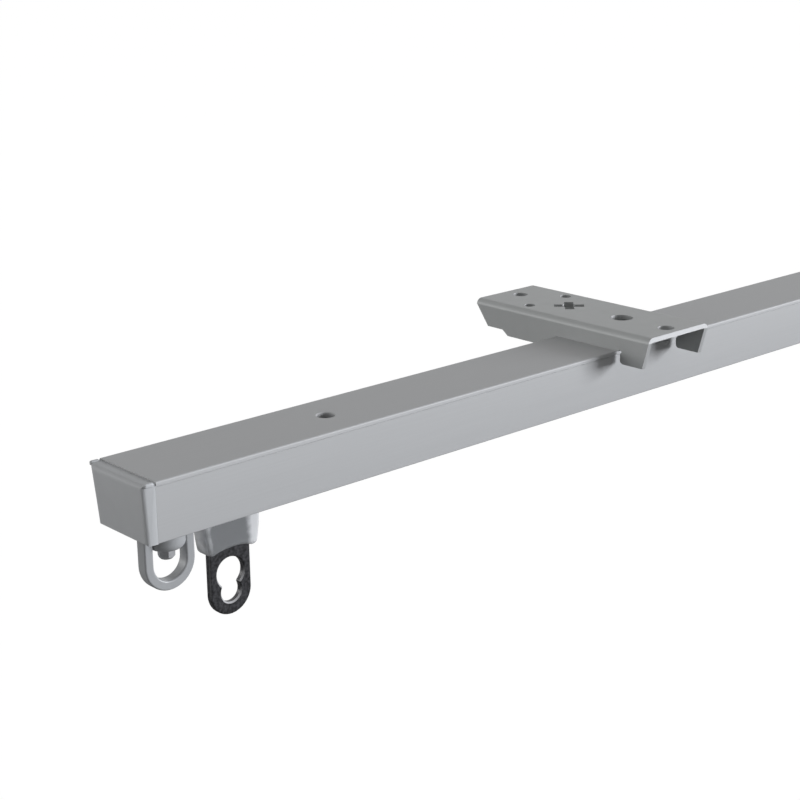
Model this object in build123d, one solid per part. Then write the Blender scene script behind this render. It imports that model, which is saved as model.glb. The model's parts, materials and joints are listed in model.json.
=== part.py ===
"""Ceiling curtain track: a box-section rail with gliders, end stops, end caps and ceiling brackets.

Millimetres. +X runs along the rail, +Y from its front side to its back side, +Z up.
The origin is on the brackets' top face, midway between the two holes that are screwed to the ceiling.
The pieces are made about the rail's middle plane, and are placed behind those holes at the end.
"""

import math
import os
from build123d import *

# Rail: a straight box section, open along a slot in its underside
rail_length = 600.0
rail_width = 24.0
rail_height = 16.0
side_wall = 1.3
top_wall = 1.2
track_wall = 1.3
inner_corner_radius = 0.8
slot_width = 7.2
slot_lip_height = 0.5
slot_lip_width = 0.8
bead_height = 1.2
bead_width = 1.1
bead_proud = 0.25
bead_rise = 0.35
bead_radius = 0.5
groove_height = 0.3
groove_depth = 0.15
bottom_edge_radius = 0.4

# Holes in the rail's top, for screwing it straight to a ceiling
rail_hole_diameter = 5.0
rail_hole_inset = 62.7
rail_hole_chamfer = 0.25

# End caps: a drafted end plate that carries the beads on, and an open plug in the rail's hollow
cap_thickness_top = 3.5
cap_thickness_bottom = 3.1
cap_side_draft = 0.3
cap_edge_radius = 1.0
cap_top_radius = 1.7
cap_seam_radius = 0.25
cap_bead_end_radius = 0.95
cap_bead_setback = 0.2
plug_length = 4.5
plug_wall = 1.2
plug_clearance = 0.1

# End stops: a head on the tracks, a neck in the slot, a round boss and a loop below the rail
stop_inset = 10.0
stop_head_length = 10.0
stop_head_height = 4.0
stop_head_side_gap = 0.6
stop_neck_length = 9.0
stop_neck_clearance = 0.3
stop_rail_gap = 0.3
stop_base_height = 2.2
stop_base_width = 8.0
stop_boss_diameter = 10.0
stop_boss_drop = 7.0
stop_boss_edge_radius = 2.0
stop_head_corner_radius = 0.6
loop_width = 15.1
loop_band = 2.6
loop_thickness = 3.5
loop_drop = 18.1
loop_edge_radius = 0.5

# Clamp screws of the end stops, each with a hexagon at its lower end
screw_diameter = 3.0
screw_thread_clearance = 0.05
screw_chamfer = 0.3
hexagon_across_flats = 4.0
hexagon_height = 2.7
hexagon_gap = 0.1
hexagon_turn = 10.0
hexagon_end_diameter = 3.2
hexagon_end_height = 0.8

# Gliders: wheels on an axle, a steel plate with a keyhole eye and a moulded saddle around the plate
first_glider_inset = 28.8
last_glider_inset = 28.8
glider_pitch = 90.0
gliders_on_the_right = 4
wheel_diameter = 11.0
wheel_width = 3.4
wheel_track_gap = 0.05
wheel_lip_gap = 0.5
wheel_edge_radius = 0.5
wheel_hub_diameter = 5.2
wheel_rim_wall = 1.4
wheel_recess_depth = 0.9
axle_diameter = 2.5
axle_clearance = 0.05
axle_head_diameter = 4.2
axle_head_height = 0.8
axle_end_play = 0.2
plate_thickness = 2.0
plate_width = 13.0
plate_above_axle = 3.2
plate_top_radius = 3.0
plate_drop = 30.75
plate_edge_radius = 0.5
eye_upper_diameter = 8.5
eye_lower_diameter = 6.2
eye_spacing = 5.2
eye_waist_radius = 0.7
eye_edge_chamfer = 0.4
saddle_width = 6.2
saddle_length = 17.5
saddle_length_low = 14.9
saddle_drop = 13.1
saddle_straight_drop = 3.5
saddle_side_bulge = 0.25
saddle_arch_rise = 1.4
saddle_corner_radius = 1.0
saddle_foot_radius = 1.5
saddle_shoulder_height = 3.4
saddle_hub_radius = 4.2
saddle_spacer_diameter = 5.0
saddle_plate_clearance = 0.05

# Brackets: a folded sheet channel across the rail, with a notch in each flange that sits on the rail's
# beads. The holes are placed from the ceiling hole, which lies a little in front of the rail's middle.
ceiling_hole_to_rail_middle = 2.0
bracket_spacing = 239.0
sheet = 1.5
fold_radius = 0.4
bracket_width = 28.0
bracket_rise = 6.0
bracket_front_reach = 22.4
bracket_back_reach = 49.4
plate_end_height = 1.6
notch_front_gap = 1.6
notch_back_gap = 0.5
notch_corner_radius = 0.5
tab_drop = 3.7
tab_length = 8.6
tab_corner_radius = 1.2
leg_drop = 4.0
leg_length = 20.9
heel_drop = 2.3
heel_start = 23.2
heel_end_length = 29.8
sheared_corner_radius = 0.3
ceiling_hole_diameter = 7.0
front_hole_diameter = 5.2
front_hole_offset = -17.5
cross_offset = 21.8
cross_length = 9.6
cross_width = 3.0
cross_hole_diameter = 5.0
pair_hole_diameter = 3.8
pair_hole_offset = 31.1
pair_hole_spacing = 17.0
back_hole_diameter = 4.8
back_hole_offset = 43.3

# Heights that follow from the sizes above, with the brackets' top face at zero
rail_top = -bracket_rise
rail_bottom = rail_top - rail_height
top_face = rail_top - bead_rise
track_top = rail_bottom + track_wall
lip_top = track_top + slot_lip_height
hollow_top = top_face - top_wall
hollow_width = rail_width - 2 * side_wall
rail_end = rail_length / 2
bead_middle = rail_width / 2 + bead_proud - bead_width / 2
axle_height = track_top + wheel_track_gap + wheel_diameter / 2
wheel_inner_face = slot_width / 2 + slot_lip_width + wheel_lip_gap
wheel_outer_face = wheel_inner_face + wheel_width

# Places along the rail
bracket_places = {"left": -bracket_spacing / 2, "right": bracket_spacing / 2}
last_glider_place = rail_end - last_glider_inset
right_glider_places = [last_glider_place - glider_pitch * step for step in range(gliders_on_the_right)]
glider_places = [first_glider_inset - rail_end] + sorted(right_glider_places)


def side_view(sketch, width):
    """A sketch drawn in X and Z, extruded to both sides of the rail's middle plane."""
    return extrude(Plane.XZ * sketch, amount=width / 2, both=True)


def end_view(sketch, length):
    """A sketch drawn in Y and Z, extruded to both sides of mid-length."""
    return extrude(Plane.YZ * sketch, amount=length / 2, both=True)


def box_between(x_range, y_range, z_range):
    """A block given by its low and high corner along each axis."""
    size = [high - low for low, high in (x_range, y_range, z_range)]
    middle = [(high + low) / 2 for low, high in (x_range, y_range, z_range)]
    return Pos(*middle) * Box(*size)


def upright_cylinder(diameter, low, high):
    """A cylinder about the Z axis between two heights."""
    return Pos(0, 0, (low + high) / 2) * Cylinder(diameter / 2, high - low)


def crosswise_cylinder(diameter, low, high):
    """A cylinder along Y through the axle's place, between two distances from the rail's middle plane."""
    return Pos(0, (low + high) / 2, axle_height) * Rot(X=90) * Cylinder(diameter / 2, high - low)


def edges_along(part, axis):
    """The straight edges of a part that run along one axis."""
    return part.edges().filter_by(axis)


def make_rail():
    """Extruded rail: box with a raised bead along both top edges, hollow, slot with lips, and top holes."""
    outer = Pos(0, (top_face + rail_bottom) / 2) * Rectangle(rail_width, top_face - rail_bottom)
    outer = fillet(outer.vertices().group_by(Axis.Y)[0], bottom_edge_radius)
    bead = Rectangle(bead_width, bead_height)
    bead = fillet(bead.vertices().group_by(Axis.Y)[-1], bead_radius)
    beads = Sketch() + [Pos(side * bead_middle, rail_top - bead_height / 2) * bead for side in (-1, 1)]
    groove = Rectangle(2 * groove_depth, groove_height)
    groove_middle = rail_top - bead_height - groove_height / 2
    grooves = Sketch() + [Pos(side * rail_width / 2, groove_middle) * groove for side in (-1, 1)]
    hollow_height = hollow_top - track_top
    hollow = Pos(0, track_top + hollow_height / 2) * Rectangle(hollow_width, hollow_height)
    hollow = fillet(hollow.vertices(), inner_corner_radius)
    lips_width = slot_width + 2 * slot_lip_width
    lips = Pos(0, track_top + slot_lip_height / 2) * Rectangle(lips_width, slot_lip_height)
    slot = Pos(0, rail_bottom + track_wall / 2) * Rectangle(slot_width, track_wall + 2 * slot_lip_height)
    section = outer + beads - grooves - hollow + lips - slot
    rail = end_view(section, rail_length)
    hole = upright_cylinder(rail_hole_diameter, hollow_top, top_face)
    hole += Pos(0, 0, top_face - rail_hole_chamfer / 2) * Cone(
        rail_hole_diameter / 2, rail_hole_diameter / 2 + rail_hole_chamfer, rail_hole_chamfer
    )
    hole_reach = rail_end - rail_hole_inset
    return rail - [Pos(place, 0, 0) * hole for place in (-hole_reach, hole_reach)]


def make_left_end_cap():
    """Moulded cap on the rail's left end: drafted plate, beads along its top edges and an open plug."""
    seam = -rail_end
    half_width = rail_width / 2
    side_profile = Polygon(
        (seam, rail_bottom),
        (seam, top_face),
        (seam - cap_thickness_top, top_face),
        (seam - cap_thickness_bottom, rail_bottom),
        align=None,
    )
    top_corner = side_profile.vertices().group_by(Axis.X)[0]
    side_profile = fillet(top_corner, cap_top_radius)
    bottom_corner = side_profile.vertices().group_by(Axis.Y)[0].sort_by(Axis.X)[0]
    side_profile = fillet(bottom_corner, cap_edge_radius)
    plan_profile = Polygon(
        (seam, -half_width),
        (seam, half_width),
        (seam - cap_thickness_top, half_width - cap_side_draft),
        (seam - cap_thickness_top, cap_side_draft - half_width),
        align=None,
    )
    plan_profile = fillet(plan_profile.vertices().group_by(Axis.X)[0], cap_edge_radius)
    plan = extrude(Pos(0, 0, rail_bottom) * plan_profile, amount=rail_height)
    plate = side_view(side_profile, rail_width) & plan
    plate = fillet(plate.faces().sort_by(Axis.X)[-1].edges(), cap_seam_radius)
    bead_length = cap_thickness_top - cap_bead_setback
    bead_plan = Pos(seam - bead_length / 2, bead_middle) * Rectangle(bead_length, bead_width)
    outer_corner = bead_plan.vertices().group_by(Axis.Y)[-1].sort_by(Axis.X)[0]
    bead_plan = fillet(outer_corner, cap_bead_end_radius)
    bead = extrude(Pos(0, 0, rail_top - bead_height) * bead_plan, amount=bead_height)
    bead = fillet(bead.faces().sort_by(Axis.Z)[-1].edges(), bead_radius)
    plug_width = hollow_width - 2 * plug_clearance
    plug_top = hollow_top - plug_clearance
    plug_end = seam + plug_length
    plug = box_between((seam, plug_end), (-plug_width / 2, plug_width / 2), (lip_top, plug_top))
    plug = fillet(edges_along(plug, Axis.X).group_by(Axis.Z)[-1], inner_corner_radius)
    inside = plug_width / 2 - plug_wall
    plug -= box_between((seam, plug_end), (-inside, inside), (lip_top, plug_top - plug_wall))
    return plate + bead + mirror(bead, Plane.XZ) + plug


def make_stop():
    """End stop about the Z axis: head on the slot's lips, neck, base, round boss and hanging loop."""
    head_width = hollow_width - 2 * stop_head_side_gap
    head = Pos(0, 0, lip_top + stop_head_height / 2) * Box(stop_head_length, head_width, stop_head_height)
    head = fillet(edges_along(head, Axis.Z), stop_head_corner_radius)
    base_top = rail_bottom - stop_rail_gap
    neck_width = slot_width - 2 * stop_neck_clearance
    neck = Pos(0, 0, (lip_top + base_top) / 2) * Box(stop_neck_length, neck_width, lip_top - base_top)
    base = Pos(0, 0, base_top - stop_base_height) * extrude(
        SlotOverall(loop_width, stop_base_width), amount=stop_base_height
    )
    boss_bottom = rail_bottom - stop_boss_drop
    boss = upright_cylinder(stop_boss_diameter, boss_bottom, base_top)
    boss = fillet(boss.edges().group_by(Axis.Z)[0], stop_boss_edge_radius)
    arc_centre = rail_bottom - loop_drop + loop_width / 2
    straight = base_top - arc_centre
    loop_outline = Pos(0, arc_centre) * Circle(loop_width / 2)
    loop_outline += Pos(0, arc_centre + straight / 2) * Rectangle(loop_width, straight)
    opening_width = loop_width - 2 * loop_band
    opening = Pos(0, arc_centre) * Circle(opening_width / 2)
    opening += Pos(0, arc_centre + straight / 2) * Rectangle(opening_width, straight)
    loop = side_view(loop_outline - opening, loop_thickness)
    loop_faces = loop.faces().filter_by(Axis.Y)
    rounded = [edge for face in loop_faces for edge in face.edges() if edge.center().Z < base_top]
    loop = fillet(rounded, loop_edge_radius)
    hole = upright_cylinder(screw_diameter, boss_bottom, lip_top + stop_head_height)
    return head + neck + base + boss + loop - hole


def make_stop_screw():
    """Clamp screw about the Z axis, up to the rail's top wall, with a hexagon end below the boss."""
    hexagon_top = rail_bottom - stop_boss_drop - hexagon_gap
    low = hexagon_top - hexagon_height
    shank = upright_cylinder(screw_diameter - 2 * screw_thread_clearance, hexagon_top, hollow_top)
    shank = chamfer(shank.edges().filter_by(GeomType.CIRCLE).group_by(Axis.Z)[-1], screw_chamfer)
    hexagon = extrude(RegularPolygon(hexagon_across_flats / 2, 6, major_radius=False), amount=hexagon_height)
    across_corners = hexagon_across_flats / math.cos(math.pi / 6)
    end_cone = Pos(0, 0, hexagon_end_height / 2) * Cone(
        hexagon_end_diameter / 2, across_corners / 2, hexagon_end_height
    )
    rounding = end_cone + upright_cylinder(across_corners, hexagon_end_height, hexagon_height)
    return shank + Pos(0, 0, low) * Rot(Z=hexagon_turn) * (hexagon & rounding)


def make_wheel():
    """Wheel on the back track: rounded tread, hub and a ring-shaped recess in its outer face."""
    wheel_radius = wheel_diameter / 2
    bore_radius = axle_diameter / 2 + axle_clearance
    section = Pos((bore_radius + wheel_radius) / 2, (wheel_inner_face + wheel_outer_face) / 2) * Rectangle(
        wheel_radius - bore_radius, wheel_width
    )
    section = fillet(section.vertices().group_by(Axis.X)[-1], wheel_edge_radius)
    recess_inner = wheel_hub_diameter / 2
    recess_outer = wheel_radius - wheel_rim_wall
    section -= Pos((recess_inner + recess_outer) / 2, wheel_outer_face - wheel_recess_depth / 2) * Rectangle(
        recess_outer - recess_inner, wheel_recess_depth
    )
    return Pos(0, 0, axle_height) * revolve(section, Axis.Y)


def make_axle():
    """Pin through both wheels, with a head outside each."""
    head_start = wheel_outer_face + axle_end_play
    head_end = head_start + axle_head_height
    pin = crosswise_cylinder(axle_diameter, -head_end, head_end)
    back_head = crosswise_cylinder(axle_head_diameter, head_start, head_end)
    return pin + back_head + mirror(back_head, Plane.XZ)


def make_plate():
    """Steel strap with a round lower end, a keyhole eye with pressed edges and a hole for the axle."""
    end_radius = plate_width / 2
    eye_lower_height = rail_bottom - plate_drop + end_radius
    eye_upper_height = eye_lower_height + eye_spacing
    strap_top = axle_height + plate_above_axle
    strap_length = strap_top - eye_lower_height
    outline = Pos(0, eye_lower_height + strap_length / 2) * Rectangle(plate_width, strap_length)
    outline = fillet(outline.vertices().group_by(Axis.Y)[-1], plate_top_radius)
    outline += Pos(0, eye_lower_height) * Circle(end_radius)
    strap = side_view(outline, plate_thickness)
    flat_faces = strap.faces().filter_by(Axis.Y)
    strap = fillet([edge for face in flat_faces for edge in face.edges()], plate_edge_radius)
    eye = Pos(0, eye_lower_height) * Circle(eye_lower_diameter / 2)
    eye += Pos(0, eye_upper_height) * Circle(eye_upper_diameter / 2)
    eye = fillet(eye.vertices(), eye_waist_radius)
    plate = strap - side_view(eye, plate_thickness)
    eye_wires = [wire for face in plate.faces().filter_by(Axis.Y) for wire in face.inner_wires()]
    plate = chamfer([edge for wire in eye_wires for edge in wire.edges()], eye_edge_chamfer)
    return plate - crosswise_cylinder(axle_diameter, -plate_thickness, plate_thickness)


def saddle_outline():
    """The saddle's outline seen from the side: arched foot, bulged flanks, shoulders and a round hub."""
    foot = (saddle_length_low / 2, rail_bottom - saddle_drop)
    waist = (saddle_length / 2, rail_bottom - saddle_straight_drop)
    shoulder = (saddle_length / 2, rail_bottom + saddle_shoulder_height)
    crown = (0, axle_height + saddle_hub_radius)
    flank_middle = ((foot[0] + waist[0]) / 2 + saddle_side_bulge, (foot[1] + waist[1]) / 2)

    def mirrored(point):
        return (-point[0], point[1])

    arch = ThreePointArc(mirrored(foot), (0, foot[1] + saddle_arch_rise), foot)
    right_flank = ThreePointArc(foot, flank_middle, waist)
    right_side = Line(waist, shoulder)
    top = Line(shoulder, mirrored(shoulder))
    left_side = Line(mirrored(shoulder), mirrored(waist))
    left_flank = ThreePointArc(mirrored(waist), mirrored(flank_middle), mirrored(foot))
    body = make_face([arch, right_flank, right_side, top, left_side, left_flank])
    hub_height = axle_height - shoulder[1]
    hub = Pos(0, axle_height) * Circle(saddle_hub_radius)
    hub += Pos(0, shoulder[1] + hub_height / 2) * Rectangle(2 * saddle_hub_radius, hub_height)
    return body, hub, crown


def is_foot_edge(edge):
    """Whether an edge runs along the arched foot, on the front or the back side of the saddle."""
    middle = edge @ 0.5
    on_a_side = abs(middle.Y) > saddle_width / 2 - saddle_corner_radius / 2
    return on_a_side and middle.Z < rail_bottom - saddle_drop / 2


def make_saddle():
    """Nylon moulding around the plate, rounded along its foot, with spacers beside its hub."""
    body_outline, hub_outline, crown = saddle_outline()
    body = side_view(body_outline, saddle_width)
    body = fillet(edges_along(body, Axis.Z), saddle_corner_radius)
    foot = [edge for edge in body.edges() if is_foot_edge(edge)]
    body = fillet(foot, saddle_foot_radius)
    body += side_view(hub_outline, saddle_width)
    spacer_face = wheel_inner_face - axle_end_play
    body += crosswise_cylinder(saddle_spacer_diameter, -spacer_face, spacer_face)
    pocket_width = plate_width + 2 * saddle_plate_clearance
    pocket_thickness = plate_thickness + 2 * saddle_plate_clearance
    pocket = box_between(
        (-pocket_width / 2, pocket_width / 2),
        (-pocket_thickness / 2, pocket_thickness / 2),
        (rail_bottom - saddle_drop, crown[1]),
    )
    return body - pocket - crosswise_cylinder(axle_diameter, -spacer_face, spacer_face)


def make_bracket():
    """Folded channel across the rail, cut to its side outline, with the holes in its plate."""
    channel = Pos(0, -bracket_width / 2) * Rectangle(bracket_width, bracket_width)
    channel = fillet(channel.vertices().group_by(Axis.Y)[-1], fold_radius + sheet)
    inside_width = bracket_width - 2 * sheet
    inside = Pos(0, -sheet - bracket_width / 2) * Rectangle(inside_width, bracket_width)
    inside = fillet(inside.vertices().group_by(Axis.Y)[-1], fold_radius)
    reach_front = bracket_front_reach + ceiling_hole_to_rail_middle
    reach_back = bracket_back_reach - ceiling_hole_to_rail_middle
    folded = extrude(Plane.XZ * (channel - inside), amount=reach_front + reach_back)
    folded = Pos(0, reach_back, 0) * folded
    notch_front = -rail_width / 2 - notch_front_gap
    notch_back = rail_width / 2 + notch_back_gap
    side = Polygon(
        (-reach_front, 0),
        (-reach_front, -plate_end_height),
        (notch_front - tab_length, rail_top - tab_drop),
        (notch_front, rail_top - tab_drop),
        (notch_front, rail_top),
        (notch_back, rail_top),
        (notch_back, rail_top - leg_drop),
        (notch_back + leg_length, rail_top - leg_drop),
        (notch_back + heel_start, rail_top - heel_drop),
        (notch_back + heel_end_length, rail_top - heel_drop),
        (reach_back, -plate_end_height),
        (reach_back, 0),
        align=None,
    )
    tab_corner = (notch_front, rail_top - tab_drop)
    low_corners = side.vertices().filter_by(lambda vertex: vertex.Y < rail_top - heel_drop / 2)
    side = fillet(low_corners.sort_by_distance(tab_corner)[1:], sheared_corner_radius)
    side = fillet(side.vertices().sort_by_distance(tab_corner)[0], tab_corner_radius)
    bracket = folded & end_view(side, bracket_width)
    relief = Pos(notch_front, rail_top) * Circle(notch_corner_radius)
    bracket -= end_view(relief, bracket_width)
    holes = [
        Circle(ceiling_hole_diameter / 2),
        Pos(0, front_hole_offset) * Circle(front_hole_diameter / 2),
        Pos(0, cross_offset) * Rot(Z=45) * Rectangle(cross_length, cross_width),
        Pos(0, cross_offset) * Rot(Z=-45) * Rectangle(cross_length, cross_width),
        Pos(0, cross_offset) * Circle(cross_hole_diameter / 2),
        Pos(-pair_hole_spacing / 2, pair_hole_offset) * Circle(pair_hole_diameter / 2),
        Pos(pair_hole_spacing / 2, pair_hole_offset) * Circle(pair_hole_diameter / 2),
        Pos(0, back_hole_offset) * Circle(back_hole_diameter / 2),
    ]
    hole_row = Pos(0, -ceiling_hole_to_rail_middle, 0)
    return bracket - [hole_row * extrude(hole, amount=-sheet) for hole in holes]


def write(name, part):
    """One file for each sub-part, named after it, moved to its place behind the ceiling holes."""
    placed = Pos(0, ceiling_hole_to_rail_middle, 0) * part
    export_step(placed, os.path.join("parts", f"{name}.step"))


os.makedirs("parts", exist_ok=True)

write("rail", make_rail())

left_end_cap = make_left_end_cap()
write("left_end_cap", left_end_cap)
write("right_end_cap", mirror(left_end_cap, Plane.YZ))

stop = make_stop()
stop_screw = make_stop_screw()
for side_name, side in (("left", -1), ("right", 1)):
    stop_place = Pos(side * (rail_end - stop_inset), 0, 0)
    write(f"{side_name}_end_stop", stop_place * stop)
    write(f"{side_name}_stop_screw", stop_place * stop_screw)

bracket = make_bracket()
for side_name, place in bracket_places.items():
    write(f"{side_name}_bracket", Pos(place, 0, 0) * bracket)

back_wheel = make_wheel()
glider_pieces = {
    "plate": make_plate(),
    "saddle": make_saddle(),
    "axle": make_axle(),
    "front_wheel": mirror(back_wheel, Plane.XZ),
    "back_wheel": back_wheel,
}
for number, place in enumerate(glider_places, start=1):
    for piece_name, piece in glider_pieces.items():
        write(f"glider_{number}_{piece_name}", Pos(place, 0, 0) * piece)
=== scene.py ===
"""Studio picture of a ceiling curtain track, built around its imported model."""

import json
import math

import bpy
from mathutils import Euler, Matrix, Vector

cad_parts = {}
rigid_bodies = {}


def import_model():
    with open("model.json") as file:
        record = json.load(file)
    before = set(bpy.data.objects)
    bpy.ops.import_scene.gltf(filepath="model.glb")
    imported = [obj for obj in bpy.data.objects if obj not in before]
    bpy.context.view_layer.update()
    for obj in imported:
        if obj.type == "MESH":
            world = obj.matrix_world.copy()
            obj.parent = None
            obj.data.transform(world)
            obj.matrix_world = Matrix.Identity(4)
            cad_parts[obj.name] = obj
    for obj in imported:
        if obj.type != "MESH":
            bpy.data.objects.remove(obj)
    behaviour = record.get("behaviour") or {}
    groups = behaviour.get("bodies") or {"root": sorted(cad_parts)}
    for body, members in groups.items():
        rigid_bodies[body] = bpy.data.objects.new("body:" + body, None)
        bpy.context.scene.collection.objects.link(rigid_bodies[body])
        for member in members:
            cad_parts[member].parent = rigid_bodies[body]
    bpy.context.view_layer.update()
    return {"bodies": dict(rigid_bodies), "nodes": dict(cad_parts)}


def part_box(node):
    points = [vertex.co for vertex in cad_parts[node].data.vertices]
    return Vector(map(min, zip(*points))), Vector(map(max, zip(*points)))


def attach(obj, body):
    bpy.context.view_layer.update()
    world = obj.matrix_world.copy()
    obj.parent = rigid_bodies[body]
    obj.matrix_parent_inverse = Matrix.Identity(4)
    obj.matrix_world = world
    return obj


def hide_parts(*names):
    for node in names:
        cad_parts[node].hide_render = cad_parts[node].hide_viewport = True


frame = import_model()
nodes = frame["nodes"]

# Camera: a long lens at the track's left end, a little above it and in front of it, turned towards the
# brackets. It stands where the picture's perspective puts it, and the rail runs out on the right.
MM = 0.001
CAMERA_PLACE = (-507.7 * MM, -327.0 * MM, 128.9 * MM)
CAMERA_TURN = math.radians(42.09)
CAMERA_TILT_DOWN = math.radians(17.11)
CAMERA_ROLL = math.radians(-0.632)
CAMERA_LENS = 75.35
CAMERA_FILM = 36
CAMERA_NEAR = 10 * MM
bpy.ops.object.camera_add(location=CAMERA_PLACE)
camera = bpy.context.object
camera.name = "camera"
heading = Euler((math.pi / 2 - CAMERA_TILT_DOWN, 0, -CAMERA_TURN)).to_matrix()
camera.rotation_euler = (heading @ Matrix.Rotation(CAMERA_ROLL, 3, "Z")).to_euler()
camera.data.lens = CAMERA_LENS
camera.data.sensor_width = CAMERA_FILM
camera.data.sensor_fit = "HORIZONTAL"
camera.data.clip_start = CAMERA_NEAR
bpy.context.scene.camera = camera
bpy.context.scene.view_settings.view_transform = "Standard"

# Studio floor and surround: a plain pale floor well below the hanging track, and a white surround. The
# camera sees both white, and the surround is white in reflections too; its light on the track is weaker.
FLOOR_DROP = 260 * MM
FLOOR_SIZE = 12.0
FLOOR_COLOUR = "#9C9C9C"
FLOOR_GLOW_SHARE = 0.9
FLOOR_GLOW = 1.1
SURROUND_LEVEL = 0.25


def colour(text):
    """An sRGB hex colour as the linear red, green, blue and alpha that a socket takes."""
    channels = [int(text[i : i + 2], 16) / 255 for i in (1, 3, 5)]
    linear = [c / 12.92 if c <= 0.04045 else ((c + 0.055) / 1.055) ** 2.4 for c in channels]
    return (*linear, 1.0)


def add_node(tree, kind, links=(), **settings):
    """Adds a node with its properties and socket values, and links outputs to its inputs."""
    node = tree.nodes.new(kind)
    for name, value in settings.items():
        if hasattr(node, name):
            setattr(node, name, value)
        else:
            node.inputs[name.replace("_", " ")].default_value = value
    for source, socket in links:
        tree.links.new(source, node.inputs[socket])
    return node


bpy.ops.mesh.primitive_plane_add(size=FLOOR_SIZE, location=(0, 0, -FLOOR_DROP))
floor = bpy.context.object
floor.name = "floor"
floor_material = bpy.data.materials.new("matt_paper_floor")
floor_material.use_nodes = True
tree = floor_material.node_tree
tree.nodes.clear()
paper = add_node(tree, "ShaderNodeBsdfDiffuse", Color=colour(FLOOR_COLOUR))
glow = add_node(tree, "ShaderNodeEmission", Color=colour("#FFFFFF"), Strength=FLOOR_GLOW)
rays = add_node(tree, "ShaderNodeLightPath")
seen = add_node(tree, "ShaderNodeMath", [(rays.outputs["Is Camera Ray"], 0)], operation="MULTIPLY")
seen.inputs[1].default_value = FLOOR_GLOW_SHARE
mixed = [(seen.outputs[0], 0), (paper.outputs[0], 1), (glow.outputs[0], 2)]
blend = add_node(tree, "ShaderNodeMixShader", mixed)
add_node(tree, "ShaderNodeOutputMaterial", [(blend.outputs[0], "Surface")])
floor.data.materials.append(floor_material)

world = bpy.data.worlds.new("white_surround")
bpy.context.scene.world = world
world.use_nodes = True
tree = world.node_tree
tree.nodes.clear()
rays = add_node(tree, "ShaderNodeLightPath")
direct = rays.outputs["Is Camera Ray"]
for ray in ("Is Transmission Ray", "Is Glossy Ray"):
    either = add_node(tree, "ShaderNodeMath", [(direct, 0), (rays.outputs[ray], 1)], operation="MAXIMUM")
    direct = either.outputs[0]
level = add_node(tree, "ShaderNodeMapRange", [(direct, "Value")], To_Min=SURROUND_LEVEL)
background = add_node(tree, "ShaderNodeBackground", [(level.outputs[0], "Strength")], Color=colour("#FFFFFF"))
add_node(tree, "ShaderNodeOutputWorld", [(background.outputs[0], "Surface")])

# Lamps: a large softbox in front and to the right makes the rail's front side its brightest face. A weaker
# one behind on the left lights the end faces, so the upright edges between the two stay a little darker.
LAMP_DISTANCE = 8.0
LAMP_TARGET = Vector((-0.1, 0, 0))


def add_softbox(name, turn, height, size, power, tint):
    """A square area lamp, turned from the front towards the right, and raised, in degrees."""
    turn, height = math.radians(turn), math.radians(height)
    way = Vector((math.sin(turn) * math.cos(height), -math.cos(turn) * math.cos(height), math.sin(height)))
    bpy.ops.object.light_add(type="AREA", location=LAMP_TARGET + LAMP_DISTANCE * way)
    lamp = bpy.context.object
    lamp.name = name
    lamp.data.size = size
    lamp.data.energy = power
    lamp.data.color = colour(tint)[:3]
    lamp.rotation_euler = (-way).to_track_quat("-Z", "Y").to_euler()


add_softbox("front_softbox", 45, 7, 3.2, 740, "#F9FBFF")
add_softbox("back_softbox", -124, 4, 5.0, 290, "#FFFFFF")

# Rail: one extruded length of aluminium alloy, etched and anodised in its natural silver.
# The etch leaves an even satin, and faint straight lines from the die run along it.
RAIL_SILVER_DARK = "#B7B8B9"
RAIL_SILVER_LIGHT = "#BDBEBF"
DIE_LINE_WIDTH = 0.5 * MM
DIE_LINE_LENGTH = 60 * MM
DIE_LINE_RELIEF = 0.01 * MM
ETCH_GRAIN = 0.15 * MM
ETCH_RELIEF = 0.006 * MM


def add_material(name):
    """A material with a Principled shader and Object coordinates, as tree, shader and coordinates."""
    material = bpy.data.materials.new(name)
    material.use_nodes = True
    tree = material.node_tree
    shader = tree.nodes["Principled BSDF"]
    coordinates = add_node(tree, "ShaderNodeTexCoord").outputs["Object"]
    return material, tree, shader, coordinates


def add_noise(tree, coordinates, size, detail):
    """The factor of a noise pattern whose features are about one size."""
    noise = add_node(tree, "ShaderNodeTexNoise", [(coordinates, "Vector")], Scale=1 / size, Detail=detail)
    return noise.outputs["Fac"]


def vary(tree, factor, low, high):
    """A colour that runs from a low to a high sRGB hex colour with a pattern's factor."""
    mix = add_node(tree, "ShaderNodeMix", data_type="RGBA")
    tree.links.new(factor, mix.inputs["Factor"])
    mix.inputs["A"].default_value = colour(low)
    mix.inputs["B"].default_value = colour(high)
    return mix.outputs["Result"]


rail_finish, tree, shader, coordinates = add_material("satin_anodised_aluminium")
lines = add_node(tree, "ShaderNodeMapping", [(coordinates, "Vector")])
lines.inputs["Scale"].default_value = (1 / DIE_LINE_LENGTH, 1 / DIE_LINE_WIDTH, 1 / DIE_LINE_WIDTH)
streaks = add_noise(tree, lines.outputs[0], 1.0, 2.0)
tree.links.new(vary(tree, streaks, RAIL_SILVER_DARK, RAIL_SILVER_LIGHT), shader.inputs["Base Color"])
etch = add_noise(tree, coordinates, ETCH_GRAIN, 1.0)
die_relief = add_node(tree, "ShaderNodeBump", [(streaks, "Height")], Strength=0.25, Distance=DIE_LINE_RELIEF)
both = [(etch, "Height"), (die_relief.outputs[0], "Normal")]
relief = add_node(tree, "ShaderNodeBump", both, Strength=0.3, Distance=ETCH_RELIEF)
tree.links.new(relief.outputs[0], shader.inputs["Normal"])
sheen_range = add_node(tree, "ShaderNodeMapRange", [(streaks, "Value")], To_Min=0.46, To_Max=0.54)
tree.links.new(sheen_range.outputs[0], shader.inputs["Roughness"])
shader.inputs["Metallic"].default_value = 0.08
shader.inputs["Specular IOR Level"].default_value = 0.2
RAIL_WALL = 1.3 * MM
RAIL_TOP_WALL = 1.55 * MM
HOLLOW_CORNER = 0.8 * MM
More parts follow.
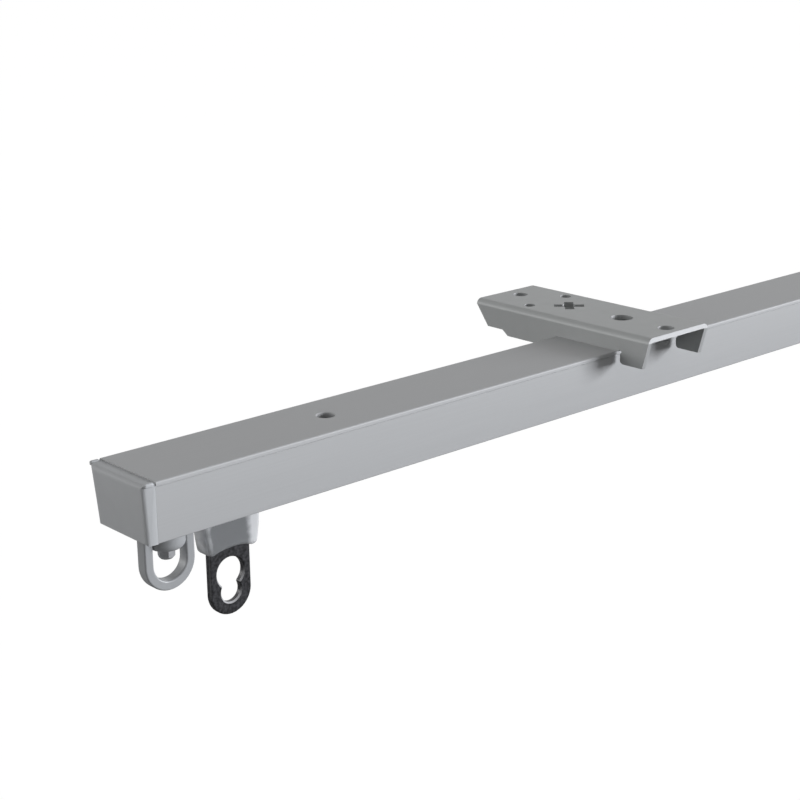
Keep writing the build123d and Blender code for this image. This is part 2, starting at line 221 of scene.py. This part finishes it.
BOTTOM_CORNER = 0.4 * MM
BEAD_PROUD = 0.25 * MM
BEAD_WIDTH = 0.9 * MM
BEAD_HEIGHT = 1.1 * MM
BEAD_CORNER = 0.45 * MM
GROOVE_HEIGHT = 0.3 * MM
GROOVE_DEPTH = 0.15 * MM
SLOT_HALF = 3.6 * MM
SLOT_LIP = 0.8 * MM
SLOT_LIP_HEIGHT = 0.5 * MM
RAIL_HOLE_RADIUS = 2.5 * MM
RAIL_HOLE_INSET = 62.7 * MM
RAIL_HOLE_CHAMFER = 0.25 * MM
PUNCH_DEPTH = 4 * MM
HOLE_SIDES = 64
ROUNDING_STEPS = 6
SMOOTH_BELOW = math.radians(30)
NEAR = 0.1 * MM
OVERLAP = 0.5 * MM
BEYOND = 1 * MM


def add_block(name, first, second):
    """A block between two opposite corners, alone in the selection, with its place in its mesh."""
    bpy.ops.object.select_all(action="DESELECT")
    low = Vector([min(pair) for pair in zip(first, second)])
    high = Vector([max(pair) for pair in zip(first, second)])
    bpy.ops.mesh.primitive_cube_add(size=1, location=(low + high) / 2)
    block = bpy.context.object
    block.name = name
    block.scale = high - low
    bpy.ops.object.transform_apply(location=True, rotation=True, scale=True)
    return block


def round_edges(block, width, radius_of):
    """Bevels each edge by the radius that a function gives for its middle, up to one width."""
    weights = block.data.attributes.new("bevel_weight_edge", "FLOAT", "EDGE")
    for edge in block.data.edges:
        first, second = (block.data.vertices[i].co for i in edge.vertices)
        weights.data[edge.index].value = radius_of((first + second) / 2) / width
    rounding = block.modifiers.new("rounding", "BEVEL")
    rounding.limit_method = "WEIGHT"
    rounding.width = width
    rounding.segments = ROUNDING_STEPS
    bpy.context.view_layer.objects.active = block
    bpy.ops.object.modifier_apply(modifier=rounding.name)


def cut_or_join(block, other, operation):
    """Cuts another block away from a block, or joins it on, and removes the other."""
    combining = block.modifiers.new("combining", "BOOLEAN")
    combining.operation = operation
    combining.object = other
    combining.solver = "EXACT"
    bpy.context.view_layer.objects.active = block
    bpy.ops.object.modifier_apply(modifier=combining.name)
    bpy.data.objects.remove(other)


rail_low, rail_high = (Vector(corner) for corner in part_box("rail"))
middle_y = (rail_low.y + rail_high.y) / 2
rail_front, rail_back = rail_low.y + BEAD_PROUD, rail_high.y - BEAD_PROUD
bead_bottom = rail_high.z - BEAD_HEIGHT
groove_bottom = bead_bottom - GROOVE_HEIGHT
track_top = rail_low.z + RAIL_WALL
rail = add_block(
    "extruded_rail", (rail_low.x, rail_front, rail_low.z), (rail_high.x, rail_back, groove_bottom)
)


def bottom_corner(middle):
    """The radius of the rail's two long bottom edges, and none for its other edges."""
    at_a_side = min(middle.y - rail_front, rail_back - middle.y) < NEAR
    return BOTTOM_CORNER if at_a_side and middle.z - rail_low.z < NEAR else 0


round_edges(rail, BOTTOM_CORNER, bottom_corner)
deck = add_block(
    "deck",
    (rail_low.x, rail_front + GROOVE_DEPTH, groove_bottom - OVERLAP),
    (rail_high.x, rail_back - GROOVE_DEPTH, bead_bottom + NEAR),
)
cut_or_join(rail, deck, "UNION")
cover = add_block(
    "cover",
    (rail_low.x, rail_low.y + BEAD_WIDTH / 2, bead_bottom),
    (rail_high.x, rail_high.y - BEAD_WIDTH / 2, rail_high.z),
)
cut_or_join(rail, cover, "UNION")
for outer_y, inward in ((rail_low.y, 1), (rail_high.y, -1)):
    bead = add_block(
        "bead", (rail_low.x, outer_y, bead_bottom), (rail_high.x, outer_y + inward * BEAD_WIDTH, rail_high.z)
    )

    def bead_corner(middle):
        """The radius of the bead's long outer top edge, and none for its other edges."""
        outside = abs(middle.y - outer_y) < NEAR and abs(middle.x) < BEYOND
        return BEAD_CORNER if outside and middle.z > bead_bottom + NEAR else 0

    round_edges(bead, BEAD_CORNER, bead_corner)
    cut_or_join(rail, bead, "UNION")
hollow = add_block(
    "hollow",
    (rail_low.x - BEYOND, rail_front + RAIL_WALL, track_top),
    (rail_high.x + BEYOND, rail_back - RAIL_WALL, rail_high.z - RAIL_TOP_WALL),
)
round_edges(hollow, HOLLOW_CORNER, lambda middle: HOLLOW_CORNER if abs(middle.x) < BEYOND else 0)
cut_or_join(rail, hollow, "DIFFERENCE")
for side in (-1, 1):
    lip = add_block(
        "lip",
        (rail_low.x, middle_y + side * (SLOT_HALF - BEYOND), track_top - OVERLAP),
        (rail_high.x, middle_y + side * (SLOT_HALF + SLOT_LIP), track_top + SLOT_LIP_HEIGHT),
    )
    cut_or_join(rail, lip, "UNION")
slot = add_block(
    "slot",
    (rail_low.x - BEYOND, middle_y - SLOT_HALF, rail_low.z - BEYOND),
    (rail_high.x + BEYOND, middle_y + SLOT_HALF, track_top + 2 * SLOT_LIP_HEIGHT),
)
cut_or_join(rail, slot, "DIFFERENCE")
for hole_x in (rail_low.x + RAIL_HOLE_INSET, rail_high.x - RAIL_HOLE_INSET):
    bpy.ops.object.select_all(action="DESELECT")
    place = (hole_x, middle_y, rail_high.z - RAIL_HOLE_CHAMFER - PUNCH_DEPTH / 2)
    bpy.ops.mesh.primitive_cylinder_add(
        vertices=HOLE_SIDES, radius=RAIL_HOLE_RADIUS, depth=PUNCH_DEPTH, location=place
    )
    punch = bpy.context.object
    bpy.ops.object.mode_set(mode="EDIT")
    bpy.ops.mesh.select_mode(type="FACE")
    bpy.ops.mesh.select_all(action="DESELECT")
    bpy.ops.object.mode_set(mode="OBJECT")
    for face in punch.data.polygons:
        face.select = face.normal.z > 0.5
    bpy.ops.object.mode_set(mode="EDIT")
    bpy.ops.mesh.extrude_region_move(TRANSFORM_OT_translate={"value": (0, 0, 2 * RAIL_HOLE_CHAMFER)})
    widening = 1 + 2 * RAIL_HOLE_CHAMFER / RAIL_HOLE_RADIUS
    bpy.ops.transform.resize(value=(widening, widening, 1))
    bpy.ops.object.mode_set(mode="OBJECT")
    cut_or_join(rail, punch, "DIFFERENCE")
bpy.ops.object.select_all(action="DESELECT")
rail.select_set(True)
bpy.context.view_layer.objects.active = rail
bpy.ops.object.shade_smooth_by_angle(angle=SMOOTH_BELOW)
rail.data.materials.append(rail_finish)
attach(rail, "track")
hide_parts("rail")

# End caps: moulded ABS in a grey matched to the anodising, pushed into the rail's ends by their plugs.
# The mould's spark-eroded face leaves a fine even grain that softens every highlight.
CAP_GREY_DARK = "#BEC0C2"
CAP_GREY_LIGHT = "#C5C7C9"
MOULD_GRAIN = 0.35 * MM
MOULD_GRAIN_RELIEF = 0.02 * MM
CLOUD_SIZE = 6 * MM


def add_relief(tree, shader, height, strength, depth):
    """Relief on a surface from the factor of a pattern."""
    relief = add_node(tree, "ShaderNodeBump", [(height, "Height")], Strength=strength, Distance=depth)
    tree.links.new(relief.outputs[0], shader.inputs["Normal"])


cap_finish, tree, shader, coordinates = add_material("moulded_abs_grey")
clouds = add_noise(tree, coordinates, CLOUD_SIZE, 2.0)
tree.links.new(vary(tree, clouds, CAP_GREY_DARK, CAP_GREY_LIGHT), shader.inputs["Base Color"])
grain = add_noise(tree, coordinates, MOULD_GRAIN, 2.0)
add_relief(tree, shader, grain, 0.35, MOULD_GRAIN_RELIEF)
shader.inputs["Roughness"].default_value = 0.5
shader.inputs["Specular IOR Level"].default_value = 0.35
CAP_TOP_THICKNESS = 4.0 * MM
CAP_BOTTOM_THICKNESS = 3.0 * MM
CAP_FRONT_DRAFT = 0.3 * MM
CAP_BACK_TAPER_TOP = 1.1 * MM
CAP_BACK_TAPER_BOTTOM = 2.4 * MM
CAP_TOP_STEP = 0.35 * MM
CAP_LARGEST_ROUNDING = 2.0 * MM
CAP_TOP_ROUNDING = 1.7 * MM
CAP_FRONT_ROUNDING = 1.2 * MM
CAP_BACK_ROUNDING = 1.8 * MM
CAP_LOW_ROUNDING = 0.5 * MM
CAP_SEAM_ROUNDING = 0.06 * MM
NUB_GAP = 0.6 * MM
NUB_LENGTH = 2.5 * MM
NUB_WIDTH = 1.1 * MM
NUB_HEIGHT = 1.2 * MM
NUB_ROUNDING = 0.4 * MM
PLUG_TO_BOTTOM = 1.8 * MM
PLUG_TO_TOP = 1.65 * MM
PLUG_TO_SIDE = 1.65 * MM
PLUG_WALL = 1.2 * MM
PLUG_LENGTH = 4.5 * MM
cap_bottom, cap_top = rail_low.z, rail_high.z - CAP_TOP_STEP
for node_name, seam, outward in (("left_end_cap", rail_low.x, -1), ("right_end_cap", rail_high.x, 1)):
    end = seam + outward * CAP_TOP_THICKNESS
    cap = add_block(f"moulded_{node_name}", (seam, rail_front, cap_bottom), (end, rail_back, cap_top))

    def cap_rounding(middle):
        """The radius of each edge around the cap's seam and around its end face."""
        if abs(middle.x - seam) < NEAR:
            return CAP_SEAM_ROUNDING
        if abs(middle.x - end) > NEAR:
            return 0
        if middle.z > cap_top - NEAR:
            return CAP_TOP_ROUNDING
        if middle.z < cap_bottom + NEAR:
            return CAP_LOW_ROUNDING
        return CAP_FRONT_ROUNDING if middle.y < middle_y else CAP_BACK_ROUNDING

    round_edges(cap, CAP_LARGEST_ROUNDING, cap_rounding)
    for vertex in cap.data.vertices:
        drop = (cap_top - vertex.co.z) / (cap_top - cap_bottom)
        reach = abs(vertex.co.x - seam) / CAP_TOP_THICKNESS
        vertex.co.x -= outward * drop * reach * (CAP_TOP_THICKNESS - CAP_BOTTOM_THICKNESS)
        if vertex.co.y > middle_y:
            vertex.co.y -= reach * (CAP_BACK_TAPER_TOP + drop * (CAP_BACK_TAPER_BOTTOM - CAP_BACK_TAPER_TOP))
        else:
            vertex.co.y += reach * CAP_FRONT_DRAFT
    nub_start = seam + outward * NUB_GAP
    for outer_y, inward in ((rail_low.y, 1), (rail_high.y, -1)):
        corner = (nub_start, outer_y, rail_high.z)
        opposite = (nub_start + outward * NUB_LENGTH, outer_y + inward * NUB_WIDTH, rail_high.z - NUB_HEIGHT)
        nub = add_block("nub", corner, opposite)
        round_edges(nub, NUB_ROUNDING, lambda middle: NUB_ROUNDING)
        cut_or_join(cap, nub, "UNION")
    plug_end = seam - outward * PLUG_LENGTH
    plug_bottom, plug_top = cap_bottom + PLUG_TO_BOTTOM, rail_high.z - PLUG_TO_TOP
    plug_front, plug_back = rail_front + PLUG_TO_SIDE, rail_back - PLUG_TO_SIDE
    root = seam + outward * CAP_SEAM_ROUNDING
    plug = add_block("plug", (root, plug_front, plug_bottom), (plug_end, plug_back, plug_top))
    hollow = add_block(
        "hollow",
        (seam, plug_front + PLUG_WALL, plug_bottom - PLUG_WALL),
        (plug_end - outward * PLUG_WALL, plug_back - PLUG_WALL, plug_top - PLUG_WALL),
    )
    cut_or_join(plug, hollow, "DIFFERENCE")
    cut_or_join(cap, plug, "UNION")
    bpy.ops.object.select_all(action="DESELECT")
    cap.select_set(True)
    bpy.ops.object.shade_smooth_by_angle(angle=SMOOTH_BELOW)
    cap.data.materials.append(cap_finish)
    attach(cap, "track")
    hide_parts(node_name)

# End stops: zinc castings with a sprayed satin grey coat, each clamped from below by its screw.
# The coat lies in a faint orange-peel and is a little lighter where it runs thin over the cast skin.
STOP_GREY_DARK = "#A6A8AA"
STOP_GREY_LIGHT = "#B0B2B4"
PEEL_SIZE = 0.9 * MM
PEEL_RELIEF = 0.05 * MM
CAST_CLOUD_SIZE = 3 * MM


def dress(names, material):
    """Gives CAD nodes a material in place of the plain one from the record."""
    for name in names:
        for slot in nodes[name].material_slots:
            slot.material = material


stop_finish, tree, shader, coordinates = add_material("coated_zinc_casting")
clouds = add_noise(tree, coordinates, CAST_CLOUD_SIZE, 3.0)
tree.links.new(vary(tree, clouds, STOP_GREY_DARK, STOP_GREY_LIGHT), shader.inputs["Base Color"])
peel = add_noise(tree, coordinates, PEEL_SIZE, 1.0)
add_relief(tree, shader, peel, 0.3, PEEL_RELIEF)
shader.inputs["Roughness"].default_value = 0.36
shader.inputs["Specular IOR Level"].default_value = 0.5
dress(["left_end_stop", "right_end_stop"], stop_finish)

# Clamp screws: drawn steel, turned and zinc plated, with a hexagon at the lower end for a spanner.
# The turning leaves fine rings across the screw, and the plating is duller in patches.
SCREW_GREY_DARK = "#9C9D9F"
SCREW_GREY_LIGHT = "#BBBCBE"
TURNING_PITCH = 0.25 * MM
TURNING_RELIEF = 0.02 * MM
WAVE_PERIOD_AT_SCALE_1 = 0.314
PLATING_PATCH = 1.2 * MM
screw_finish, tree, shader, coordinates = add_material("zinc_plated_steel")
patches = add_noise(tree, coordinates, PLATING_PATCH, 3.0)
tree.links.new(vary(tree, patches, SCREW_GREY_DARK, SCREW_GREY_LIGHT), shader.inputs["Base Color"])
rings = add_node(tree, "ShaderNodeTexWave", [(coordinates, "Vector")], bands_direction="Z")
rings.inputs["Scale"].default_value = WAVE_PERIOD_AT_SCALE_1 / TURNING_PITCH
add_relief(tree, shader, rings.outputs["Fac"], 0.2, TURNING_RELIEF)
shader.inputs["Metallic"].default_value = 0.3
shader.inputs["Roughness"].default_value = 0.35
dress(["left_stop_screw", "right_stop_screw"], screw_finish)

# Brackets: 1.5 mm steel sheet, punched, sprayed in satin silver and folded. The coat is rough with fine
# metal flake, and the sheared front and back ends of the plate are rubbed bright.
BRACKET_SILVER_DARK = "#A4A6A6"
BRACKET_SILVER_LIGHT = "#ADAFAF"
SHEARED_STEEL = "#D0D1D2"
FLAKE_SIZE = 0.4 * MM
FLAKE_RELIEF = 0.02 * MM
COAT_CLOUD_SIZE = 5 * MM
bracket_finish, tree, shader, coordinates = add_material("silver_coated_steel_sheet")
clouds = add_noise(tree, coordinates, COAT_CLOUD_SIZE, 3.0)
coat = vary(tree, clouds, BRACKET_SILVER_DARK, BRACKET_SILVER_LIGHT)
surface = add_node(tree, "ShaderNodeNewGeometry")
facing = add_node(tree, "ShaderNodeSeparateXYZ", [(surface.outputs["True Normal"], 0)])
end_way = add_node(tree, "ShaderNodeMath", [(facing.outputs["Y"], 0)], operation="ABSOLUTE")
end_face = add_node(tree, "ShaderNodeMapRange", [(end_way.outputs[0], "Value")], From_Min=0.95, From_Max=0.99)
edge = add_node(tree, "ShaderNodeMix", data_type="RGBA")
tree.links.new(end_face.outputs[0], edge.inputs["Factor"])
tree.links.new(coat, edge.inputs["A"])
edge.inputs["B"].default_value = colour(SHEARED_STEEL)
tree.links.new(edge.outputs["Result"], shader.inputs["Base Color"])
flake = add_noise(tree, coordinates, FLAKE_SIZE, 2.0)
add_relief(tree, shader, flake, 0.3, FLAKE_RELIEF)
shader.inputs["Metallic"].default_value = 0.2
shader.inputs["Roughness"].default_value = 0.5
shader.inputs["Specular IOR Level"].default_value = 0.35
dress(["left_bracket", "right_bracket"], bracket_finish)

# Glider plates: stamped steel, blackened by an oxide bath and oiled. The black is mottled, and a painted
# highlight of bright steel lies on the upward-facing slanted faces of the keyhole's pressed rim, where the
# lamps above catch it.
PLATE_BLACK_DARK = "#1B1B1D"
PLATE_BLACK_LIGHT = "#49494C"
PAINTED_HIGHLIGHT_STEEL = "#C4C4C6"
MOTTLE_SIZE = 0.8 * MM
MOTTLE_RELIEF = 0.08 * MM
glider_names = [name for name in frame["bodies"] if name.startswith("glider_") and "wheel" not in name]
plate_finish, tree, shader, coordinates = add_material("black_oxide_steel")
mottle = add_noise(tree, coordinates, MOTTLE_SIZE, 5.0)
spread = add_node(tree, "ShaderNodeMapRange", [(mottle, "Value")], From_Min=0.35, From_Max=0.7)
black = vary(tree, spread.outputs[0], PLATE_BLACK_DARK, PLATE_BLACK_LIGHT)
# Painted highlight: bright steel on the rim's slanted faces, stronger the more they face upward towards the
# lamps.
surface = add_node(tree, "ShaderNodeNewGeometry")
facing = add_node(tree, "ShaderNodeSeparateXYZ", [(surface.outputs["True Normal"], 0)])
side_way = add_node(tree, "ShaderNodeMath", [(facing.outputs["Y"], 0)], operation="ABSOLUTE")
slant = add_node(tree, "ShaderNodeMath", [(side_way.outputs[0], 0)], operation="PINGPONG")
slant.inputs[1].default_value = 0.5
slanted = add_node(tree, "ShaderNodeMapRange", [(slant.outputs[0], "Value")], From_Min=0.12, From_Max=0.25)
upward = add_node(tree, "ShaderNodeMapRange", [(facing.outputs["Z"], "Value")], From_Min=-0.12, From_Max=0.5)
highlight_factors = [(slanted.outputs[0], 0), (upward.outputs[0], 1)]
painted_highlight_share = add_node(tree, "ShaderNodeMath", highlight_factors, operation="MULTIPLY")
edge = add_node(tree, "ShaderNodeMix", data_type="RGBA")
tree.links.new(painted_highlight_share.outputs[0], edge.inputs["Factor"])
tree.links.new(black, edge.inputs["A"])
edge.inputs["B"].default_value = colour(PAINTED_HIGHLIGHT_STEEL)
tree.links.new(edge.outputs["Result"], shader.inputs["Base Color"])
add_relief(tree, shader, mottle, 0.6, MOTTLE_RELIEF)
shader.inputs["Roughness"].default_value = 0.3
dress([f"{name}_plate" for name in glider_names], plate_finish)

# Glider saddles: natural nylon, injection moulded over the plate. It lets light through. The black plate
# inside is painted into the nylon's colour as a soft grey shade across the middle, set a little towards the
# left, and faint flow clouds lie in the nylon.
SADDLE_NYLON = "#F0F1F3"
SADDLE_PAINTED_PLATE_SHADE = "#939597"
PLATE_WIDTH = 13 * MM
SADDLE_LENGTH = 17.5 * MM
PLATE_HALF_SHARE = PLATE_WIDTH / SADDLE_LENGTH / 2
# The painted plate shade is centred a little left of the saddle's middle, where the plate shows through at a
# slant.
PLATE_SHADE_MIDDLE = 0.42
PLATE_SHADE_START = PLATE_HALF_SHARE - 0.01
PLATE_SHADE_END = PLATE_HALF_SHARE + 0.11
LIGHT_REACH = 1 * MM
FLOW_CLOUD_SIZE = 2.5 * MM
FLOW_RELIEF = 0.15 * MM
FLOW_SHARE = 0.12
saddle_finish, tree, shader, coordinates = add_material("natural_nylon")
flow = add_noise(tree, coordinates, FLOW_CLOUD_SIZE, 3.0)
add_relief(tree, shader, flow, 0.3, FLOW_RELIEF)
# Painted shade: a grey in place of the nylon's colour across the middle, where the plate lies behind the
# wall, blurred by the flow clouds.
whole = add_node(tree, "ShaderNodeTexCoord").outputs["Generated"]
across = add_node(tree, "ShaderNodeSeparateXYZ", [(whole, 0)])
centred = add_node(tree, "ShaderNodeMath", [(across.outputs["X"], 0)], operation="SUBTRACT")
centred.inputs[1].default_value = PLATE_SHADE_MIDDLE
from_middle = add_node(tree, "ShaderNodeMath", [(centred.outputs[0], 0)], operation="ABSOLUTE")
flow_and_painted_shade_spread = add_node(tree, "ShaderNodeMath", [(flow, 0), (from_middle.outputs[0], 2)])
flow_and_painted_shade_spread.operation = "MULTIPLY_ADD"
flow_and_painted_shade_spread.inputs[1].default_value = FLOW_SHARE
clear = add_node(tree, "ShaderNodeMapRange", [(flow_and_painted_shade_spread.outputs[0], "Value")], interpolation_type="SMOOTHSTEP")
clear.inputs["From Min"].default_value = PLATE_SHADE_START
clear.inputs["From Max"].default_value = PLATE_SHADE_END
tree.links.new(vary(tree, clear.outputs[0], SADDLE_PAINTED_PLATE_SHADE, SADDLE_NYLON), shader.inputs["Base Color"])
shader.inputs["Roughness"].default_value = 0.2
shader.inputs["IOR"].default_value = 1.53
shader.inputs["Transmission Weight"].default_value = 0.15
shader.inputs["Subsurface Weight"].default_value = 1.0
shader.inputs["Subsurface Radius"].default_value = (1.0, 1.0, 1.0)
shader.inputs["Subsurface Scale"].default_value = LIGHT_REACH
dress([f"{name}_saddle" for name in glider_names], saddle_finish)

# Glider wheels: white nylon, moulded with a recessed outer face, and polished on the tread by running.
WHEEL_NYLON_DARK = "#DEDED8"
WHEEL_NYLON_LIGHT = "#EAEAE5"
WHEEL_CLOUD_SIZE = 2 * MM
WHEEL_RELIEF = 0.05 * MM
wheel_finish, tree, shader, coordinates = add_material("moulded_white_nylon")
clouds = add_noise(tree, coordinates, WHEEL_CLOUD_SIZE, 3.0)
tree.links.new(vary(tree, clouds, WHEEL_NYLON_DARK, WHEEL_NYLON_LIGHT), shader.inputs["Base Color"])
add_relief(tree, shader, clouds, 0.2, WHEEL_RELIEF)
shader.inputs["Roughness"].default_value = 0.4
shader.inputs["IOR"].default_value = 1.53
dress([f"{name}_{side}_wheel" for name in glider_names for side in ("front", "back")], wheel_finish)

# Glider axles: drawn steel pins, headed at both ends after the wheels are on.
AXLE_STEEL_DARK = "#A2A2A2"
AXLE_STEEL_LIGHT = "#BDBDBC"
DRAWING_LINE_WIDTH = 0.2 * MM
DRAWING_LINE_LENGTH = 50 * MM
axle_finish, tree, shader, coordinates = add_material("drawn_steel_pin")
lines = add_node(tree, "ShaderNodeMapping", [(coordinates, "Vector")])
lines.inputs["Scale"].default_value = (
    1 / DRAWING_LINE_WIDTH,
    1 / DRAWING_LINE_LENGTH,
    1 / DRAWING_LINE_WIDTH,
)
drawing = add_noise(tree, lines.outputs[0], 1.0, 2.0)
tree.links.new(vary(tree, drawing, AXLE_STEEL_DARK, AXLE_STEEL_LIGHT), shader.inputs["Base Color"])
shader.inputs["Metallic"].default_value = 1.0
shader.inputs["Roughness"].default_value = 0.3
dress([f"{name}_axle" for name in glider_names], axle_finish)
